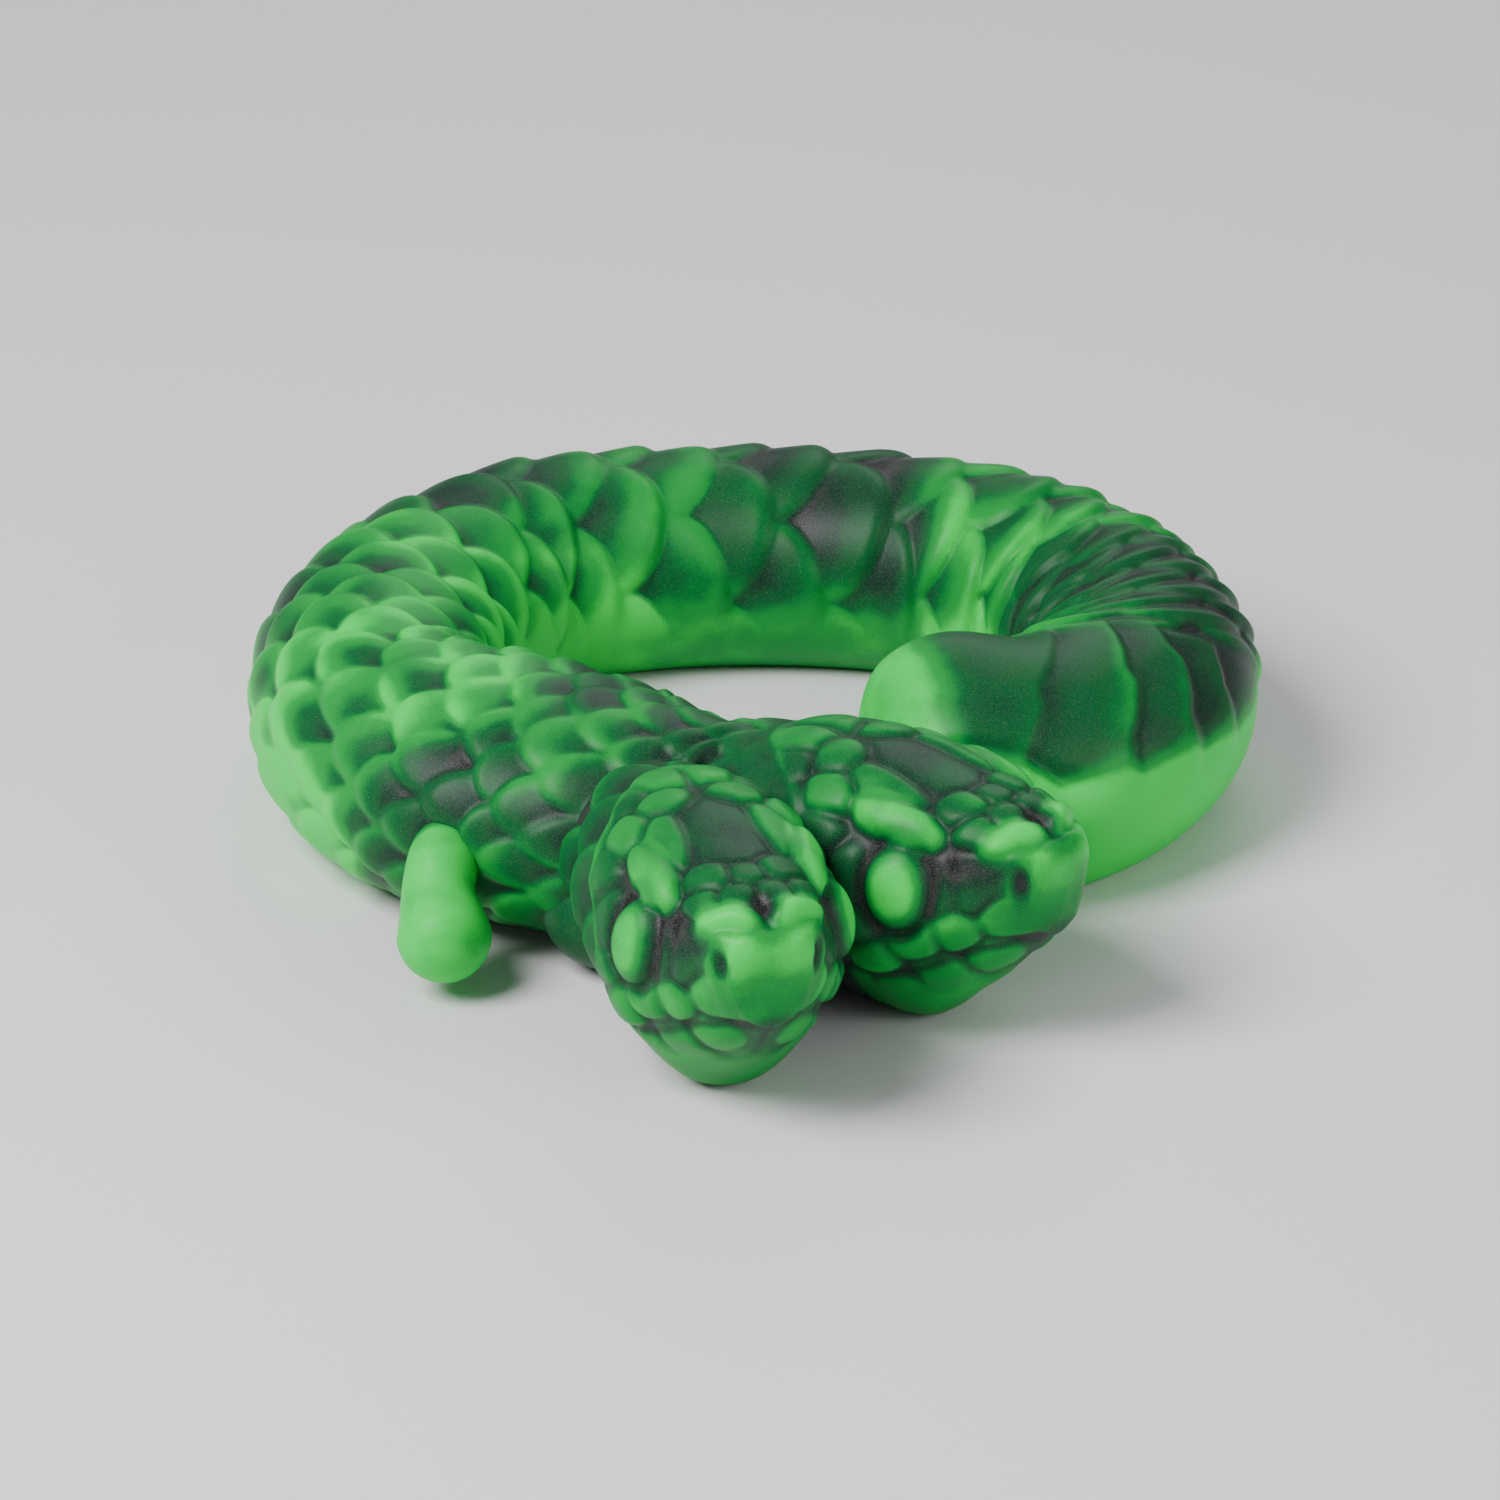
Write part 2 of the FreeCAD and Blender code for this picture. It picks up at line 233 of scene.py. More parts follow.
# Tube of the right head, the neck and the whole ring, from the right snout to the thick end.
# The head's sections are closer at the snout.
head_stations = np.concatenate([np.linspace(33.1, 32.7, 5), np.linspace(32.5, 30.0, 7),
                                np.arange(29.0, -0.1, -1.0)])
body_stations = np.arange(1.4, END_ROW, 0.25)
end_x, end_y, end_z, end_half, end_rise = body_row(END_ROW)[0]
end_way = body_way(END_ROW)[0]
DOME_STEPS = np.array([0, 12, 24, 36, 48, 58, 66, 73, 79, 84, 87, 89, 90])
dome = []
for s in np.sin(np.radians(DOME_STEPS)):
    k = max(1.0 - s ** DOME_POWER, 0.0) ** (1.0 / DOME_POWER)
    past = end_half * s
    dome.append(flat_section(end_x + end_way[0] * past, end_y + end_way[1] * past, end_z,
                             end_half * k, end_rise * k, end_way, end_z * (1 - k)))
neck_section = flat_section(*HEAD_TO_NECK, HEAD_TO_NECK_WAY, NECK_LOWEST)
anchors = np.concatenate([head_section(RIGHT_HEAD_AT, head_stations), neck_section[None],
                          body_section(body_stations), np.array(dome)])
ring_grid, ring_at, ring_knots = resample(anchors)


# Lengths along the tube. The ring's label counts millimetres along the body from row 0, runs
# negative over the right neck and head (minus the distance forward), and goes on over the dome.
row_marks = np.arange(0.0, len(BODY) - 1, 0.02)
row_path = body_row(row_marks)[:, :2]
row_length = np.concatenate([[0.0], np.cumsum(np.linalg.norm(np.diff(row_path, axis=0), axis=1))])


def length_at(row):
    """Millimetres along the body from row 0."""
    return np.interp(row, row_marks, row_length)


NOISE_CELLS = 24          # the noise repeats after this many cells
NOISE_OFFSET = 400.0      # keeps the cell numbers positive


def value_noise(points, size, seed):
    """Smooth noise from 0 to 1 with features of about the given size."""
    cells = np.random.default_rng(seed).random((NOISE_CELLS,) * 3)
    q = points / size + NOISE_OFFSET
    low = np.floor(q).astype(int)
    f = q - low
    f = f * f * (3 - 2 * f)
    out = 0.0
    for i in (0, 1):
        for j in (0, 1):
            for k in (0, 1):
                w = (np.abs(1 - i - f[..., 0]) * np.abs(1 - j - f[..., 1])
                     * np.abs(1 - k - f[..., 2]))
                out = out + w * cells[(low[..., 0] + i) % NOISE_CELLS,
                                      (low[..., 1] + j) % NOISE_CELLS,
                                      (low[..., 2] + k) % NOISE_CELLS]
    return out


def marble(points, size, seed):
    """Swirled noise from 0 to 1, as two colours of rubber poured together."""
    warp = np.stack([value_noise(points, size, seed + k) for k in (1, 2, 3)], axis=-1) - 0.5
    folded = points + warp * size * 1.6
    return (0.62 * value_noise(folded, size * 0.8, seed + 4)
            + 0.38 * value_noise(folded, size * 0.35, seed + 5))


# Scales lie in staggered rings and their free edges face the thick end. Rows are the length
# along the body, the pitch there and the angle between neighbours' middles.
SCALE_AT, SCALE_PITCH, SCALE_TURN = np.array([
    (-16.0, 4.8, 30.0),
    (0.0, 5.4, 30.0),
    (15.0, 6.2, 30.0),
    (27.0, 6.6, 33.0),
    (40.0, 7.4, 40.0),
    (55.0, 7.6, 48.0),
    (70.0, 9.0, 62.0),
    (85.0, 10.8, 86.0),
    (112.0, 10.8, 94.0),
    (125.0, 9.4, 84.0),
    (134.0, 6.6, 68.0),
    (142.0, 5.8, 62.0),
    (165.0, 5.4, 60.0),
]).T
SHEAR_AT = (0.0, 122.0, 138.0, 155.0, 170.0, 200.0)
SHEAR = (0.0, 0.0, 0.08, 0.16, 0.20, 0.20)   # mm of lean per degree round the body
INNER_AT = (0.0, 60.0, 80.0, 110.0, 130.0, 175.0)
INNER_END = (215.0, 212.0, 196.0, 186.0, 205.0, 215.0)   # degrees where the scales fade inside
SCALES_END = 164.0        # the scales stop here and the smooth belly begins
BANDS = (159.6, 164.2, 169.2, 176.2)   # edges of the belly's bands
BAND_TURN = (0.0, 30.0, 53.0, 62.0, 86.0, 98.0, 140.0)
BAND_BEND = (0.0, 0.4, 2.8, 3.0, 6.1, 8.0, 15.0)         # how far an edge lags round the body
CREASE_AT = (150.0, 163.0, 170.0, 173.3, 175.7, 179.7, 188.0, 196.0)
CREASE_TURN = (4.0, 10.0, 12.0, 18.0, 30.0, 38.0, 46.0, 50.0)   # degrees of the belly's edge
CORNER_BULGE = 1.6        # squarer upper corner of the thick end
SCALE_RISE = 0.185        # a scale's height per mm of its pitch
FOLD_GAIN = 0.6           # how much higher the narrow folds on the right stand
SCALE_LEVEL = 0.62        # share of a scale's relief that lies at the smooth section's level
BAND_RISE = 0.55
BELLY_SINK = 0.25
CREASE_DEPTH = 0.70
SCALE_HALF_WIDTH = 0.60   # share of the angle between neighbours
SCALE_BOW = 0.74          # share of a pitch that a scale's tip stands past its corners
EDGE_SHARE = 0.25         # a scale's rounded free edge, as a share of its pitch
SCALE_RINGS = 120         # size of the table of random differences between scales
SCALE_SLOTS = 40
ring_marks = np.arange(-20.0, 200.0, 0.1)
ring_count = np.cumsum(0.2 / np.interp(ring_marks, SCALE_AT, SCALE_PITCH))
ring_count -= np.interp(-6.0, ring_marks, ring_count)


def scales(length, degrees):
    """Relief from 0 to 1 and share of a pitch behind the free edge, for overlapping scales.
    At each point the highest of the scales that reach it is kept."""
    pitch = np.interp(length, SCALE_AT, SCALE_PITCH)
    index = np.interp(length, ring_marks, ring_count)
    first = np.floor(index).astype(int)
    best = np.zeros_like(length)
    behind = np.ones_like(length) * 1.5
    random = np.random.default_rng(7).random((4, SCALE_RINGS, SCALE_SLOTS))
    for ahead in range(5):
        ring = first + ahead
        place = np.interp(ring, ring_count, ring_marks)
        turn = np.interp(place, SCALE_AT, SCALE_TURN)
        shift = 0.5 * (ring % 2)
        slot = (degrees - 90.0) / turn - shift
        for side in (0, 1):
            k = np.floor(slot).astype(int) + side
            pick = (ring % SCALE_RINGS, (k + SCALE_SLOTS // 2) % SCALE_SLOTS)
            b = slot - k + 0.12 * (random[0][pick] - 0.5)
            a = (ring - index) / 2.0 + 0.20 * (random[1][pick] - 0.5)
            width = SCALE_HALF_WIDTH + 0.08 * (random[2][pick] - 0.5)
            x = np.clip(np.abs(b) / width, 0.0, 0.985)
            bow = np.sqrt(1.0 - x * x)
            tip = SCALE_BOW * (1.0 - bow)
            steep = SCALE_BOW * x / (bow * width)
            reach = (a - tip) / np.sqrt(1.0 + (steep * pitch / (turn * 0.18)) ** 2)
            rounded = 1.0 - np.clip(reach / EDGE_SHARE, 0.0, 1.0)
            edge = 1.0 - rounded ** 2.3
            edge = np.where(np.abs(b) < width, edge, 0.0)
            back = np.clip(a, 0.0, 2.0)
            height = edge * np.clip(1.0 - 0.86 * back ** 1.15 - 0.60 * b * b, 0.0, 1.0)
            height = height * (0.88 + 0.24 * random[3][pick])
            over = height > best
            best = np.where(over, height, best)
            behind = np.where(over, reach, behind)
    return best, behind


def body_relief(length, degrees):
    """Height in mm, tone (0 dark, 1 bright) and scaled share, by the length along the body in
    mm and the degrees round it (0 outside, 90 on top, 180 inside)."""
    lean = np.interp(length, SHEAR_AT, SHEAR)
    leaned = length - lean * (np.minimum(degrees, 115.0) - 90.0)
    pitch = np.interp(leaned, SCALE_AT, SCALE_PITCH)
    rise, behind = scales(leaned, degrees)
    size = SCALE_RISE * np.minimum(pitch, 9.4) * (1.0 + FOLD_GAIN * step(124.0, 134.0, length))
    outer = step(-62.0, -30.0, degrees)
    inner_end = np.interp(length, INNER_AT, INNER_END)
    inner = 1.0 - step(inner_end - 20.0, inner_end + 16.0, degrees)
    present = outer * inner * step(-7.0, 5.0, length)
    cut = step(SCALES_END - 1.5, SCALES_END + 1.5, leaned + 1.2 * np.sin(degrees * 0.09))
    scaled = present * (1.0 - cut)
    height = size * (rise - SCALE_LEVEL) * scaled
    # Scales' tone is brightest at the free edge and falls further behind it and in the low tucked
    # places: partly the pour's green and charcoal, partly painted shade in the recesses under the
    # next scale's edge and a painted sheen on the raised edges.
    tone = 0.74 - 0.28 * step(0.10, 0.70, behind) - 0.34 * (1.0 - step(0.05, 0.46, rise))
    tone = 0.58 + (tone - 0.58) * present

    # Smooth belly bands: a raised rim on the thick end's side of each line.
    bend = np.interp(degrees, BAND_TURN, BAND_BEND)
    band = np.zeros_like(length)
    seen = window(degrees, (-10.0, 25.0), (118.0, 150.0))
    for line in BANDS:
        x = length - (line - bend)
        rim = np.where(x > 0, np.exp(-x / 1.5) * step(0.0, 0.9, x) * 1.2, -np.exp(x / 1.6) * 0.6)
        band = band + rim * (0.6 if line == BANDS[-1] else 1.0)
    # Brighter on each band's raised rim and darker in the dip before its line: a painted
    # highlight on the rims and painted shade in the dips.
    smooth_tone = 0.43 + 0.30 * np.clip(band, -0.7, 1.0)
    height = height * (1 - cut) + cut * (BAND_RISE * band * seen - BELLY_SINK)
    # Crease low on the outer side of the thick end, with soft bulges under it.
    x = degrees - np.interp(length, CREASE_AT, CREASE_TURN)
    near = window(length, (170.0, 174.5), (182.0, 190.0))
    height = height - CREASE_DEPTH * near * np.exp(-(x / 4.5) ** 2)
    bulge = step(166.0, 174.0, length) * (0.70 + 0.30 * np.cos((length - 171.6) * 1.45))
    height = height + 0.60 * bulge * np.exp(-((x + 17.0) / 11.0) ** 2)
    under = 1.0 - step(-14.0, 17.0 - 13.0 * near, x)
    smooth_tone = smooth_tone + (0.95 - smooth_tone) * under
    inside = step(106.0, 134.0, degrees)
    smooth_tone = smooth_tone + (0.82 - smooth_tone) * inside
    # Bright cap and squarer corner of the thick end.
    past = length - length_at(END_ROW)
    cap = step(3.0, 8.5, past + 0.03 * (degrees - 60.0))
    smooth_tone = smooth_tone + (0.92 - smooth_tone) * cap
    corner = window(past, (-7.0, 4.0), (7.0, 15.0))
    height = height + CORNER_BULGE * corner * np.exp(-((degrees - 118.0) / 30.0) ** 2)
    tone = tone * (1 - cut) + smooth_tone * cut
    return height, tone, scaled


# Where the pour is brighter or darker on the whole: amount, then the ramps up and down along
# the body in mm, and the ramps up and down round it in degrees.
BIAS = (
    (0.42, (28.0, 38.0), None, None, (-5.0, 30.0)),
    (0.30, (30.0, 70.0), None, (165.0, 195.0), None),
    (-0.16, None, (18.0, 34.0), None, (5.0, 40.0)),
    (-0.26, None, (2.0, 11.0), None, None),
    (-0.10, (80.0, 92.0), (112.0, 122.0), None, None),
    (0.12, (50.0, 60.0), (72.0, 84.0), None, None),
    (-0.17, (120.0, 130.0), (158.0, 166.0), None, None),
)


def body_bias(length, degrees):
    """Tone added by the broad light and dark areas of the pour."""
    return sum(amount * window(length, along_up, along_down) * window(degrees, up, down)
               for amount, along_up, along_down, up, down in BIAS)


# Plates on the head: distance forward, degrees round (0 its right cheek, 90 the crown),
# half length, half width, turn of the plate, height, tone. Each is mirrored.
PLATES = [
    (18.3, 90.0, 6.2, 3.9, 0.0, 0.30, 0.40),
    (25.7, 90.0, 2.1, 1.9, 0.0, 0.45, 0.48),
    (24.9, 68.0, 2.5, 2.3, 0.0, 0.60, 0.56),
    (28.5, 74.0, 1.9, 2.2, 0.0, 0.50, 0.52),
    (27.6, 52.0, 2.3, 2.1, 0.0, 0.70, 0.60),
    (17.6, 63.0, 4.6, 2.3, -7.0, 0.70, 0.66),
    (12.0, 71.0, 2.9, 2.8, 0.0, 0.65, 0.62),
    (13.6, 50.0, 3.0, 2.6, 10.0, 0.80, 0.72),
    (6.6, 78.0, 3.4, 3.3, 10.0, 0.80, 0.66),
    (8.0, 57.0, 2.9, 2.8, 0.0, 0.60, 0.50),
    (9.8, 39.0, 2.7, 2.6, 0.0, 0.60, 0.50),
    (14.0, 33.0, 2.7, 2.6, 0.0, 0.65, 0.52),
    (20.2, 50.0, 4.7, 2.0, -7.0, 1.35, 0.88),
    (17.4, 18.0, 2.7, 3.2, 12.0, 0.55, 0.50),
    (28.2, 17.0, 2.2, 3.6, 0.0, 0.40, 0.46),
    (25.9, 14.0, 1.6, 3.0, 0.0, 0.20, 0.42),
    (18.2, 0.0, 2.6, 2.8, 8.0, 0.65, 0.60),
    (15.2, -13.0, 2.6, 2.8, 0.0, 0.75, 0.66),
    (19.2, -15.0, 2.7, 2.6, 10.0, 0.85, 0.72),
    (23.2, -9.0, 2.8, 2.6, -10.0, 0.85, 0.72),
    (26.8, -14.0, 2.4, 2.5, 0.0, 0.60, 0.74),
    (29.8, -14.0, 2.1, 2.5, 10.0, 0.45, 0.76),
    (20.5, -37.0, 2.9, 2.4, 0.0, 0.45, 0.66),
    (24.4, -39.0, 2.9, 2.6, 0.0, 0.50, 0.70),
    (28.2, -43.0, 2.8, 2.6, 0.0, 0.50, 0.70),
    (16.4, -36.0, 2.9, 2.6, 0.0, 0.40, 0.60),
]
PLATE_SIZE = 1.14         # plates are this much larger than listed, so that neighbours meet
PLATE_FLOOR = -0.30       # level between the plates
EYE = (22.1, 18.0, 2.9, 3.8, 1.65)       # forward, degrees, half length, half height, bulge
NOSE_RIDGE = ((29.4, 42.0), (30.2, 58.0), (30.9, 74.0))
HOOD_TURN = (-90.0, -40.0, -10.0, 15.0, 24.0, 44.0, 62.0, 76.0, 90.0)
HOOD_AT = (15.0, 15.5, 16.5, 15.0, 11.6, 9.6, 5.2, 2.6, 1.6)   # rear rim, over the neck
MOUTH = ((13.0, -28.0), (17.0, -24.0), (21.0, -28.0), (24.5, -29.0), (28.1, -32.0),
         (30.4, -42.0), (31.7, -60.0), (32.0, -90.0))
NOTCH_AT = (30.3, 90.0)
# Pits: forward, degrees, half length, half height, depth, painted shade. The nostril's slit, the
# dark pit in front of the eye and the shade above the nostril, all darkened with painted shade.
PITS = (
    (31.8, 20.0, 0.42, 1.05, 1.5, 1.0),
    (27.0, 28.0, 1.5, 1.3, 0.40, 0.26),
    (29.7, 31.0, 1.2, 1.0, 0.10, 0.26),
)
PLATE_POWER = 2.3         # of a plate's outline; 2 is an ellipse
CROWN_TURN = 89.0         # plates from here on lie on the middle line and aren't mirrored
FAR = 9.0                 # stands for a distance out of reach
RELIEF_START = -4.0       # the head's relief begins here, behind its rear rim
HEAD_SINK = 0.30          # level of the head's relief against the smooth section


def path_distance(grid, path):
    """Distance of each point from a polyline."""
    best = np.full(grid.shape[:2], 1e9)
    for a, b in zip(path[:-1], path[1:]):
        d = b - a
        t = np.clip(((grid - a) @ d) / (d @ d), 0.0, 1.0)
        best = np.minimum(best, np.linalg.norm(grid - a - t[..., None] * d, axis=2))
    return best


def smooth_max(a, b, soft):
    """The larger of a and b, blended where they are within soft of each other."""
    t = np.clip(0.5 + 0.5 * (a - b) / soft, 0.0, 1.0)
    return a * t + b * (1 - t) + soft * t * (1 - t)


def tangents(ahead, out):
    """Directions on the surface with normal out: along the head and round it."""
    along = ahead - out * (ahead @ out)
    along /= np.linalg.norm(along)
    return along, np.cross(out, along)


def plate_relief(g, surface, ahead, high):
    """Height and tone of the plates at the points g, with grooves between neighbours."""
    height = np.full(g.shape[:2], PLATE_FLOOR)
    tone = 0.42 + 0.30 * step(1.0, -2.5, high)
    nearest = np.full(g.shape[:2], FAR)
    second = nearest.copy()
    for u, turn, long, wide, turned, rise, plate_tone in PLATES:
        for mirror in ((1, -1) if turn < CROWN_TURN else (1,)):
            centre, out = surface(u, turn, mirror)
            along, around = tangents(ahead, out)
            a = math.radians(turned) * mirror
            d = g - centre
            x = (d @ along) * math.cos(a) + (d @ around) * math.sin(a)
            y = -(d @ along) * math.sin(a) + (d @ around) * math.cos(a)
            r2 = (np.abs(x / (PLATE_SIZE * long)) ** PLATE_POWER
                  + np.abs(y / (PLATE_SIZE * wide)) ** PLATE_POWER)
            r2 = np.where(np.abs(d @ out) < 5.0, r2, FAR)
            away = r2 ** (1.0 / PLATE_POWER)
            second = np.minimum(second, np.maximum(nearest, away))
            nearest = np.minimum(nearest, away)
            plate = rise - (rise - PLATE_FLOOR) * np.minimum(r2, 2.0) ** 1.6
            tone = tone + (plate_tone - tone) * step(-0.10, 0.25, plate - height)
            height = smooth_max(height, plate, 0.10)
    groove = np.exp(-((second - nearest) / 0.17) ** 2) * step(1.7, 1.3, nearest)
    height = height - 0.38 * groove
    # Darker in the grooves and the low places between the plates: partly the dark rubber there,
    # partly painted shade.
    tone = tone - 0.27 * (1.0 - step(-0.28, 0.16, height)) - 0.24 * groove
    return height, np.maximum(tone, 0.27)


def snout_relief(height, tone, u, high):
    """Smooths the snout between the nose ridges and the mouth, and the chin and throat."""
    snout = step(28.6, 30.6, u) * window(high, (-1.6, -0.4), (6.2, 8.0))
    height = height * (1 - snout) + (0.25 + 0.80 * step(2.0, 6.5, high)) * snout
    front = 0.66 + 0.24 * step(1.0, 5.5, high)
    tone = tone + (front - tone) * snout * step(29.4, 31.4, u)
    throat = np.clip((-(high + 4.6 + 0.12 * (30.0 - u))) / 2.0, 0.0, 1.0)
    height = height * (1 - throat) + 0.15 * throat
    tone = tone + (0.70 - tone) * throat
    return height, tone


def line_relief(height, tone, g, surface, up, mirror):
    """Adds one side's nose ridge, mouth line and pits."""
    nose = path_distance(g, [surface(*place, mirror)[0] for place in NOSE_RIDGE])
    height = smooth_max(height, 1.25 - 0.55 * nose ** 1.7, 0.35)
    tone = np.maximum(tone, 1.0 - 0.13 * nose ** 2)
    mouth = path_distance(g, [surface(*place, mirror)[0] for place in MOUTH])
    height = height - 0.45 * np.exp(-(mouth / 0.45) ** 2)
    # Painted shade darkens the mouth line's groove.
    tone = tone - 0.28 * np.exp(-(mouth / 0.45) ** 2)
    for u, turn, long, tall, deep, shade in PITS:
        centre, out = surface(u, turn, mirror)
        d = g - centre
        r = np.sqrt((d @ np.cross(up, out) / long) ** 2 + (d @ up / tall) ** 2)
        r = np.where(np.abs(d @ out) < 3.0, r, FAR)
        height = height - deep * np.exp(-r ** 2)
        # Painted shade in and around each pit.
        tone = tone - shade * np.exp(-(r / 1.2) ** 2)
    return height, tone


def eye_relief(height, tone, g, surface, ahead, high, mirror):
    """Adds one side's round eye in a dark socket, under the brow plate."""
    u, turn, long, tall, bulge = EYE
    centre, out = surface(u, turn, mirror)
    along, around = tangents(ahead, out)
    d = g - centre
    r = np.sqrt((d @ along / long) ** 2 + (d @ around * mirror / tall) ** 2)
    r = np.where(np.abs(d @ out) < 4.0, r, FAR)
    ball = bulge * np.sqrt(np.clip(1.0 - r * r, 0.0, 1.0)) - 0.25
    brow = step(0.45, 0.80, height) * step(2.0, 4.5, high)
    socket = -0.80 * np.exp(-((r - 1.10) / 0.17) ** 2) * (1.0 - 0.8 * brow)
    skin_height = height * (brow + (1.0 - brow) * step(1.0, 1.3, r)) + socket
    eye = np.where(r < 1.0, np.maximum(ball, socket), -FAR)
    # Painted shade in the socket's groove round the eye, less under the brow plate.
    tone = tone - 0.45 * np.exp(-((r - 1.1) / 0.16) ** 2) * (1.0 - 0.7 * brow)
    seen = (r < 1.0) & (eye > skin_height * brow)
    tone = np.where(seen, 0.46 + 0.42 * step(1.0, 0.5, r), tone)
    height = np.where(r < 1.0, np.maximum(eye, skin_height * brow), skin_height)
    return height, tone


def head_relief(at, forward, grid, normal):
    """Height and tone of a head's relief, and its share against the neck's, on a tube grid.
    forward is each grid row's distance along the head's axis."""
    rows = forward > RELIEF_START
    g = grid[rows]
    n = normal[rows]
    origin, ahead, _, up = head_axes(at)
    u = (g - origin) @ ahead
    high = (g - origin) @ up

    def surface(u, degrees, mirror=1):
        """Point and normal on the head at a place, or at its mirror image."""
        turn = degrees if mirror == 1 else 180.0 - degrees
        i = int(np.argmin(np.abs(forward[rows] - u)))
        j = int(round((turn % 360.0) / 360.0 * AROUND)) % AROUND
        return g[i, j], n[i, j]

    height, tone = plate_relief(g, surface, ahead, high)
    height, tone = snout_relief(height, tone, u, high)
    for mirror in (1, -1):
        height, tone = line_relief(height, tone, g, surface, up, mirror)
        height, tone = eye_relief(height, tone, g, surface, ahead, high, mirror)
    # Notch behind the point where the nose ridges meet, darkened with painted shade.
    centre, _ = surface(*NOTCH_AT)
    notch = np.linalg.norm((g - centre) * np.array([1.0, 1.0, 0.6]), axis=2)
    height = height - 0.75 * np.exp(-(notch / 1.1) ** 2)
    tone = tone - 0.85 * np.exp(-(notch / 1.15) ** 2)
    # Rear rim of the head, raised over the neck.
    past = forward[rows][:, None] - np.interp(folded_turn, HOOD_TURN, HOOD_AT)[None, :]
    rim = np.exp(-((past - 1.1) / 1.5) ** 2) * step(-30.0, 10.0, folded_turn)[None, :]
    height = smooth_max(height, 0.70 * rim - 0.20, 0.40)
    tone = np.maximum(tone, 0.62 * rim)
    out = np.zeros((3,) + grid.shape[:2])
    out[:, rows] = height - HEAD_SINK, tone, step(-0.3, 0.9, past)
    return out


def softened(values):
    """Values of a tube grid averaged with their neighbours along it and round it."""
    values = (values + np.roll(values, 1, axis=1) + np.roll(values, -1, axis=1)) / 3
    values[1:-1] = (values[1:-1] + values[:-2] + values[2:]) / 3
    return values


def grounded(grid):
    """Share of the relief to keep, less where the grid lies on the ground."""
    return 0.15 + 0.85 * step(0.0, 3.0, grid[:, :, 2])


def shaped(grid, height):
    """The grid moved out along its normals by height, kept above the surface it lies on."""
    out = grid + normals_of(grid) * softened(height * grounded(grid))[:, :, None]
    out[:, :, 2] = np.maximum(out[:, :, 2], 0.0)
    return out


# Ring: right head, right neck, trunk, ring and dome in one grid.
NECK_SECTION_MARK = 4.4   # length label of the section between the right head and the neck
HEAD_POUR = 0.3           # how much the pour's swirls change the tone of a head
HEAD_SWIRL = 9.0          # the swirls' size
anchor_marks = np.concatenate([-head_stations, [NECK_SECTION_MARK], length_at(body_stations),
                               length_at(END_ROW) + end_half * np.radians(DOME_STEPS)])
ring_mark = np.interp(ring_at, ring_knots, anchor_marks)
ring_degrees = np.broadcast_to(ring_turn, ring_grid.shape[:2])
ring_marks_2d = np.broadcast_to(ring_mark[:, None], ring_grid.shape[:2])
body_height, body_tone, body_scaled = body_relief(ring_marks_2d, ring_degrees)
head_height, head_tone, head_share = head_relief(RIGHT_HEAD_AT, -ring_mark, ring_grid,
                                                 normals_of(ring_grid))
closing = 1.0 - step(1.2 * end_half, 1.5 * end_half, ring_marks_2d - length_at(END_ROW))
ring_height = body_height * closing * (1 - head_share) + head_height * head_share
body_color = (body_tone + body_bias(ring_marks_2d, ring_degrees)
              + (marble(ring_grid, 21.0, 11) - 0.5) * (0.35 + 0.65 * body_scaled))
head_color = head_tone + HEAD_POUR * (marble(ring_grid, HEAD_SWIRL, 51) - 0.5)
ring_tone = softened(head_color * head_share + body_color * (1 - head_share))
ring_skin = shaped(ring_grid, ring_height)

# Left head and neck: a branch that starts inside the trunk.
root = [flat_section(x, y, z, half, rise, LEFT_ROOT_WAY, lowest)
        for x, y, z, half, rise, lowest, _ in LEFT_ROOT]
left_stations = head_stations[head_stations > 0.5]
left_anchors = np.concatenate([head_section(LEFT_HEAD_AT, left_stations), np.array(root)])
left_grid, left_at, left_knots = resample(left_anchors)
left_marks = np.concatenate([left_stations, [row[-1] for row in LEFT_ROOT]])
left_forward = np.interp(left_at, left_knots, left_marks)
left_height, left_tone, left_share = head_relief(LEFT_HEAD_AT, left_forward, left_grid,
                                                 normals_of(left_grid))
# The left neck has the scales that the ring has round this length, a little stretched.
NECK_SCALES_FROM = 60.0
NECK_SCALES_STRETCH = 0.8
neck_mark = NECK_SCALES_FROM - NECK_SCALES_STRETCH * left_forward[:, None]
neck_height, neck_tone, _ = body_relief(np.broadcast_to(neck_mark, left_grid.shape[:2]),
                                        np.broadcast_to(ring_turn, left_grid.shape[:2]))
left_skin = shaped(left_grid, left_height * left_share + neck_height * (1 - left_share))
left_color = left_tone + HEAD_POUR * (marble(left_grid, HEAD_SWIRL, 71) - 0.5)
left_tone = softened(left_color * left_share + (neck_tone - 0.14) * (1 - left_share))

# Tail tip: a smooth two-lobed nub. Rows are x, y, height and radius.
TAIL = np.array([
    (-25.9, -32.0, 10.2, 2.4),
    (-26.1, -35.2, 10.1, 2.8),
    (-26.3, -37.0, 9.5, 3.0),
    (-26.5, -39.0, 7.9, 3.15),
    (-26.0, -41.8, 5.5, 4.0),
])


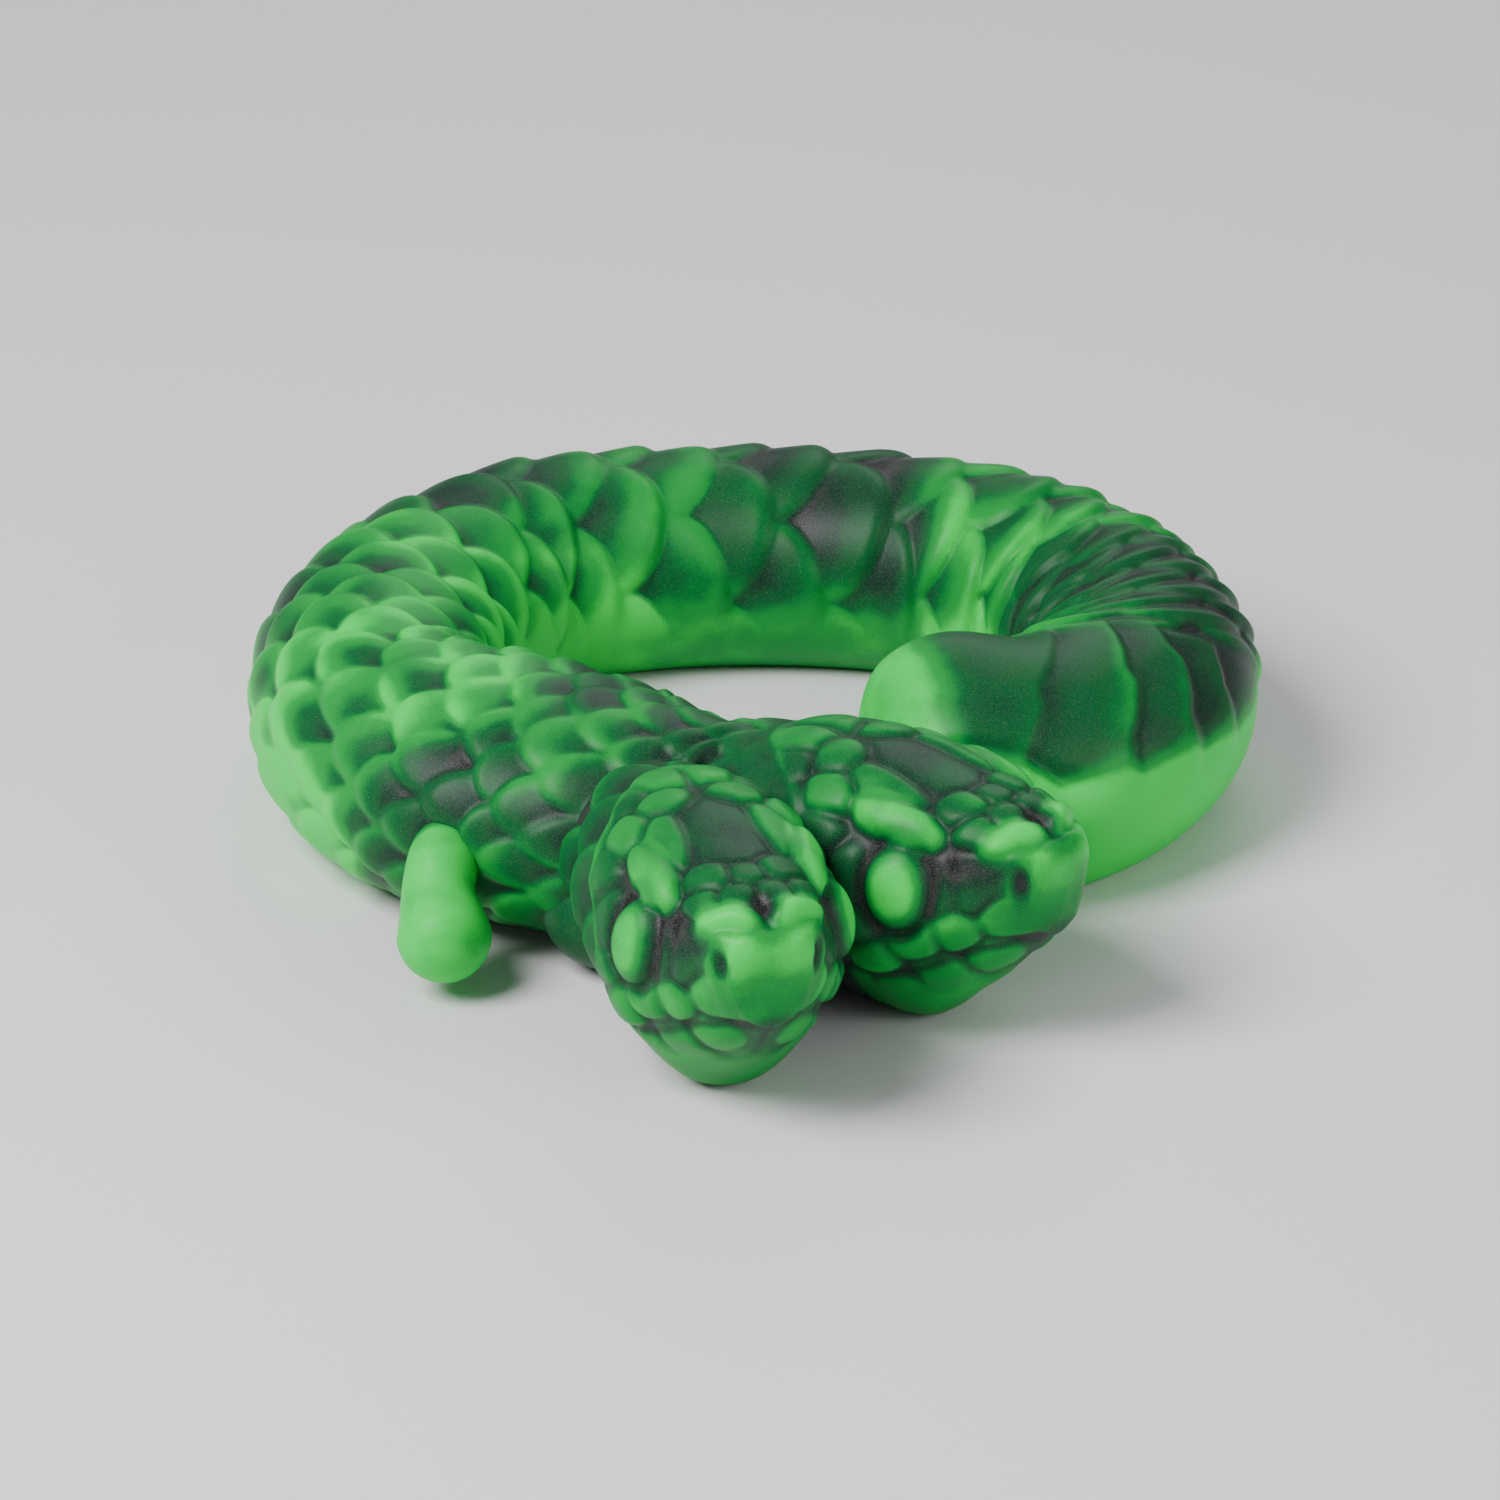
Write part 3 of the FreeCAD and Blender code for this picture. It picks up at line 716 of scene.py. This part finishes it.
def tail_grid():
    """Tube grid of the tail tip with a round end."""
    marks = np.linspace(0.0, len(TAIL) - 1.0, 60)
    x, y, z, r = spline(TAIL, np.arange(len(TAIL)), marks).T
    middle = np.stack([x, y, z], axis=1)
    way = np.gradient(middle, axis=0)
    way /= np.linalg.norm(way, axis=1)[:, None]
    rounds = np.radians(np.linspace(6.0, 90.0, 22))
    end = middle[-1]
    last = way[-1]
    r_end = r[-1]
    middle = np.concatenate([middle, end + np.sin(rounds)[:, None] * r_end * last])
    way = np.concatenate([way, np.repeat(last[None], len(rounds), axis=0)])
    r = np.concatenate([r, r_end * np.cos(rounds)])
    side = np.cross(way, [0.0, 0.0, 1.0])
    side /= np.linalg.norm(side, axis=1)[:, None]
    high = np.cross(side, way)
    return (middle[:, None] + (r[:, None] * np.cos(TURN))[:, :, None] * side[:, None]
            + (r[:, None] * np.sin(TURN))[:, :, None] * high[:, None])


nub, _, _ = resample(tail_grid())
nub_tone = 0.93 + 0.25 * (marble(nub, 6.0, 31) - 0.5) - 0.55 * step(-36.6, -34.2, nub[:, :, 1])


def filling(centre, radii, seed):
    """Grid and tone of a smooth lump of rubber, from its lowest to its highest point."""
    tall = np.radians(np.linspace(-90.0, 90.0, 90))
    grid = np.empty((len(tall), AROUND, 3))
    grid[:, :, 0] = centre[0] + radii[0] * np.cos(tall)[:, None] * np.cos(TURN)
    grid[:, :, 1] = centre[1] + radii[1] * np.cos(tall)[:, None] * np.sin(TURN)
    grid[:, :, 2] = centre[2] + radii[2] * np.sin(tall)[:, None]
    return grid, 0.6 + 0.8 * (marble(grid, 12.0, seed) - 0.5)


pad, pad_tone = filling((6.2, -24.6, 8.0), (7.0, 6.0, 7.4), 91)
sole, sole_tone = filling((-12.0, -36.4, 5.6), (6.0, 5.6, 5.4), 93)


def piece(name, grid, tone, first, last, material):
    """Mesh object from rows first to last of a tube grid, shaded as part of the whole grid."""
    normal = normals_of(grid)
    part = (grid[first:last + 1] + SHIFT) * MM
    rows = part.shape[0]
    index = np.arange(rows * AROUND).reshape(rows, AROUND)
    turned = np.roll(index, -1, axis=1)
    quads = np.stack([index[:-1], turned[:-1], turned[1:], index[1:]], axis=-1).reshape(-1, 4)
    a, b, c = (part.reshape(-1, 3)[quads[:, k]] for k in (0, 1, 3))
    facing = (np.cross(b - a, c - a) * normal[first:last].reshape(-1, 3)).sum()
    if facing < 0:
        quads = quads[:, ::-1]
    mesh = bpy.data.meshes.new(name)
    mesh.vertices.add(rows * AROUND)
    mesh.vertices.foreach_set("co", part.astype(np.float32).ravel())
    mesh.loops.add(quads.size)
    mesh.loops.foreach_set("vertex_index", quads.astype(np.int32).ravel())
    mesh.polygons.add(len(quads))
    mesh.polygons.foreach_set("loop_start", np.arange(0, quads.size, 4, dtype=np.int32))
    mesh.update(calc_edges=True)
    mesh.polygons.foreach_set("use_smooth", np.ones(len(quads), dtype=bool))
    attribute = mesh.attributes.new("tone", "FLOAT", "POINT")
    attribute.data.foreach_set("value", tone[first:last + 1].astype(np.float32).ravel())
    mesh.normals_split_custom_set_from_vertices(
        normal[first:last + 1].reshape(-1, 3).astype(np.float32))
    obj = bpy.data.objects.new(name, mesh)
    bpy.context.scene.collection.objects.link(obj)
    obj.data.materials.append(material)
    return obj


# Material: green and charcoal silicone poured together, with a pearly mica grain.
CLOUD_SCALE = 260.0       # noise scales, per metre
GRAIN_SCALE = 9000.0
FLAKE_SCALE = 12000.0
TONES = (
    (0.00, (0.006, 0.008, 0.007)),
    (0.13, (0.026, 0.026, 0.025)),
    (0.27, (0.005, 0.030, 0.015)),
    (0.48, (0.002, 0.080, 0.021)),
    (0.72, (0.001, 0.250, 0.034)),
    (0.95, (0.003, 0.620, 0.066)),
)
MICA = (0.26, 0.31, 0.27, 1.0)


def silicone(name, dark_share):
    """Material whose colour follows the mesh's tone, which holds the pour's colour and some
    painted shade and highlights. dark_share is the mica's share where the tone is lowest."""
    material = bpy.data.materials.new(name)
    material.use_nodes = True
    nodes = material.node_tree.nodes
    links = material.node_tree.links
    nodes.clear()
    out = nodes.new("ShaderNodeOutputMaterial")
    shader = nodes.new("ShaderNodeBsdfPrincipled")
    links.new(shader.outputs["BSDF"], out.inputs["Surface"])
    place = nodes.new("ShaderNodeTexCoord")
    tone = nodes.new("ShaderNodeAttribute")
    tone.attribute_name = "tone"

    def noise(scale, detail):
        """Noise in the object's own space."""
        n = nodes.new("ShaderNodeTexNoise")
        n.inputs["Scale"].default_value = scale
        n.inputs["Detail"].default_value = detail
        links.new(place.outputs["Object"], n.inputs["Vector"])
        return n.outputs["Fac"]

    def mapped(value, from_min, from_max, to_min, to_max):
        """A value mapped from one range to another."""
        n = nodes.new("ShaderNodeMapRange")
        n.inputs["From Min"].default_value = from_min
        n.inputs["From Max"].default_value = from_max
        n.inputs["To Min"].default_value = to_min
        n.inputs["To Max"].default_value = to_max
        links.new(value, n.inputs["Value"])
        return n.outputs["Result"]

    def math_node(kind, a, b):
        """The result of a sum, product or difference of two sockets or numbers."""
        n = nodes.new("ShaderNodeMath")
        n.operation = kind
        for socket, value in zip(n.inputs, (a, b)):
            if isinstance(value, (int, float)):
                socket.default_value = value
            else:
                links.new(value, socket)
        return n.outputs[0]

    cloud = noise(CLOUD_SCALE, 3.0)
    grain = noise(GRAIN_SCALE, 1.0)
    flake = noise(FLAKE_SCALE, 0.0)
    soft = math_node("MULTIPLY", math_node("SUBTRACT", cloud, 0.5), 0.24)
    speck = math_node("MULTIPLY", math_node("SUBTRACT", grain, 0.5), 0.12)
    level = math_node("ADD", math_node("ADD", tone.outputs["Fac"], soft), speck)
    ramp = nodes.new("ShaderNodeValToRGB")
    ramp.color_ramp.interpolation = "EASE"
    for element, (position, color) in zip(ramp.color_ramp.elements, (TONES[0], TONES[-1])):
        element.position = position
        element.color = color + (1.0,)
    for position, color in TONES[1:-1]:
        ramp.color_ramp.elements.new(position).color = color + (1.0,)
    links.new(level, ramp.inputs["Fac"])

    # Pearly mica: fine light specks, densest where the tone is low.
    lit = mapped(flake, 0.58, 0.74, 0.0, 1.0)
    dim = mapped(tone.outputs["Fac"], 0.05, 0.75, dark_share, 0.05)
    mica = nodes.new("ShaderNodeMix")
    mica.data_type = "RGBA"
    links.new(math_node("MULTIPLY", lit, dim), mica.inputs["Factor"])
    links.new(ramp.outputs["Color"], mica.inputs["A"])
    mica.inputs["B"].default_value = MICA
    links.new(mica.outputs["Result"], shader.inputs["Base Color"])
    links.new(mapped(cloud, 0.0, 1.0, 0.36, 0.46), shader.inputs["Roughness"])
    bump = nodes.new("ShaderNodeBump")
    bump.inputs["Strength"].default_value = 0.10
    bump.inputs["Distance"].default_value = 0.00006
    links.new(grain, bump.inputs["Height"])
    links.new(bump.outputs["Normal"], shader.inputs["Normal"])
    shader.inputs["Subsurface Weight"].default_value = 0.12
    shader.inputs["Subsurface Radius"].default_value = (0.35, 1.0, 0.4)
    shader.inputs["Subsurface Scale"].default_value = 0.0022
    shader.inputs["IOR"].default_value = 1.42
    shader.inputs["Specular IOR Level"].default_value = 0.17
    return material


marbled_silicone = silicone("marbled_silicone", 0.22)
bright_silicone = silicone("bright_silicone", 0.10)


def row_of(mark):
    """Grid row of the ring nearest to a length mark."""
    return int(np.argmin(np.abs(ring_mark - mark)))


joints = {joint["name"]: joint for joint in frame["joints"]}


def pin(name):
    """A joint's pin in the layout, in millimetres."""
    return np.array(joints[name]["pos_m"]) / MM - SHIFT


def bend_between(obj):
    """Bakes a skin's placement into its mesh."""
    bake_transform(obj)


NECK_REAR = (3.0, 5.4)    # where a neck bends sideways, by distance forward in the head
NECK_FRONT = (6.4, 9.4)   # where it bends upwards
HEAD_SPLIT = 5.9          # where a head's skin meets its neck's
NECK_SPLIT = 1.5          # where the right neck's skin meets the trunk's
TRUNK_END = 5.0           # how far the trunk's skin stops short of the left hinge


def hinge_mark(name):
    """Length along the body of the centreline's nearest point to a joint's pin."""
    return row_length[int(np.argmin(np.linalg.norm(row_path - pin(name)[:2], axis=1)))]


left_hinge = hinge_mark("ring_left_flex")
back_hinge = hinge_mark("ring_back_flex")
right_hinge = hinge_mark("ring_right_flex")


cut_head = row_of(-HEAD_SPLIT)
cut_neck = row_of(-NECK_SPLIT)
cut_trunk = row_of(left_hinge - TRUNK_END)
cut_left = row_of((left_hinge + back_hinge) / 2)
cut_back = row_of((back_hinge + right_hinge) / 2)
last_row = len(ring_mark) - 1

skin = {}
for name, first, last in (("right_head_skin", 0, cut_head),
                          ("right_neck_skin", cut_head, cut_neck),
                          ("trunk_skin", cut_neck, cut_trunk),
                          ("left_ring_skin", cut_trunk, cut_left),
                          ("back_ring_skin", cut_left, cut_back),
                          ("right_ring_skin", cut_back, last_row)):
    skin[name] = piece(name, ring_skin, ring_tone, first, last, marbled_silicone)

left_split = int(np.argmin(np.abs(left_forward - HEAD_SPLIT)))
for name, first, last in (("left_head_skin", 0, left_split),
                          ("left_neck_skin", left_split, len(left_forward) - 1)):
    skin[name] = piece(name, left_skin, left_tone, first, last, marbled_silicone)
for name, grid, tone, material in (("tail_nub", nub, nub_tone, bright_silicone),
                                   ("end_pad", pad, pad_tone, marbled_silicone),
                                   ("neck_sole", sole, sole_tone, marbled_silicone)):
    skin[name] = piece(name, grid, tone, 0, len(grid) - 1, material)

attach(skin["trunk_skin"], "neck")
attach(skin["end_pad"], "neck")
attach(skin["neck_sole"], "neck")
for name, first, second, mark in (("left_ring_skin", "neck", "back_left", left_hinge),
                                  ("back_ring_skin", "back_left", "back_right", back_hinge),
                                  ("right_ring_skin", "back_right", "front_right", right_hinge)):
    bend_between(skin[name])
for side, at in (("left", LEFT_HEAD_AT), ("right", RIGHT_HEAD_AT)):
    for part, first, second, (start, end) in (
            ("_neck_skin", "neck", side + "_neck", NECK_REAR),
            ("_head_skin", side + "_neck", side + "_head", NECK_FRONT)):
        bend_between(skin[side + part])
bend_between(skin["tail_nub"])

for name, nodes in (("trunk_skin", ("front_left", "neck_fork")),
                    ("left_ring_skin", ("left_bend", "back_left")),
                    ("back_ring_skin", ("back_bend", "back_right")),
                    ("right_ring_skin", ("right_bend", "front_right")),
                    ("left_neck_skin", ("left_neck_rear_flex", "left_neck_middle")),
                    ("right_neck_skin", ("right_neck_rear_flex", "right_neck_middle")),
                    ("left_head_skin", ("left_neck_front_flex", "left_head")),
                    ("right_head_skin", ("right_neck_front_flex", "right_head")),
                    ("tail_nub", ("tail_root", "tail_flex", "tail_tip"))):
    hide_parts(*nodes)

# Floor, light and camera.
bpy.ops.mesh.primitive_plane_add(size=6.0, location=(0.0, 0.0, 0.0))
floor = bpy.context.object
floor.name = "floor"
pale = bpy.data.materials.new("pale_floor")
pale.use_nodes = True
paint = pale.node_tree.nodes["Principled BSDF"]
paint.inputs["Base Color"].default_value = (0.74, 0.74, 0.73, 1)
paint.inputs["Roughness"].default_value = 0.55
floor.data.materials.append(pale)

world = bpy.data.worlds.new("studio")
world.use_nodes = True
sky = world.node_tree.nodes["Background"]
sky.inputs["Color"].default_value = (0.95, 0.97, 1.0, 1.0)
sky.inputs["Strength"].default_value = 0.26
bpy.context.scene.world = world


def lamp(name, place, size, power):
    """Square lamp at a place, turned towards the ring's middle."""
    light = bpy.data.lights.new(name, "AREA")
    light.size = size
    light.energy = power
    obj = bpy.data.objects.new(name, light)
    bpy.context.scene.collection.objects.link(obj)
    obj.location = place
    way = -np.array(place)
    obj.rotation_euler = (math.acos(-way[2] / np.linalg.norm(way)), 0.0,
                          math.atan2(way[1], way[0]) - math.pi / 2)


lamp("key", (-0.30, -0.22, 0.42), 0.28, 5.0)
lamp("back", (0.10, 0.42, 0.34), 0.34, 0.7)
lamp("fill", (0.42, -0.25, 0.20), 0.30, 1.1)

CAMERA_DISTANCE = 792.0
CAMERA_RISE = 25.0        # degrees above level
FIELD = 132.0             # width seen at the camera's distance
SENSOR = 36.0
AIM = np.array([-0.44, 1.18, 2.55]) + SHIFT
tilt = math.radians(CAMERA_RISE)
camera_data = bpy.data.cameras.new("camera")
camera_data.sensor_width = SENSOR
camera_data.lens = SENSOR * CAMERA_DISTANCE / FIELD
camera_data.clip_end = 20.0
camera = bpy.data.objects.new("camera", camera_data)
bpy.context.scene.collection.objects.link(camera)
back_off = np.array([0.0, -math.cos(tilt), math.sin(tilt)]) * CAMERA_DISTANCE
camera.location = (AIM + back_off) * MM
camera.rotation_euler = (math.pi / 2 - tilt, 0.0, 0.0)
bpy.context.scene.camera = camera
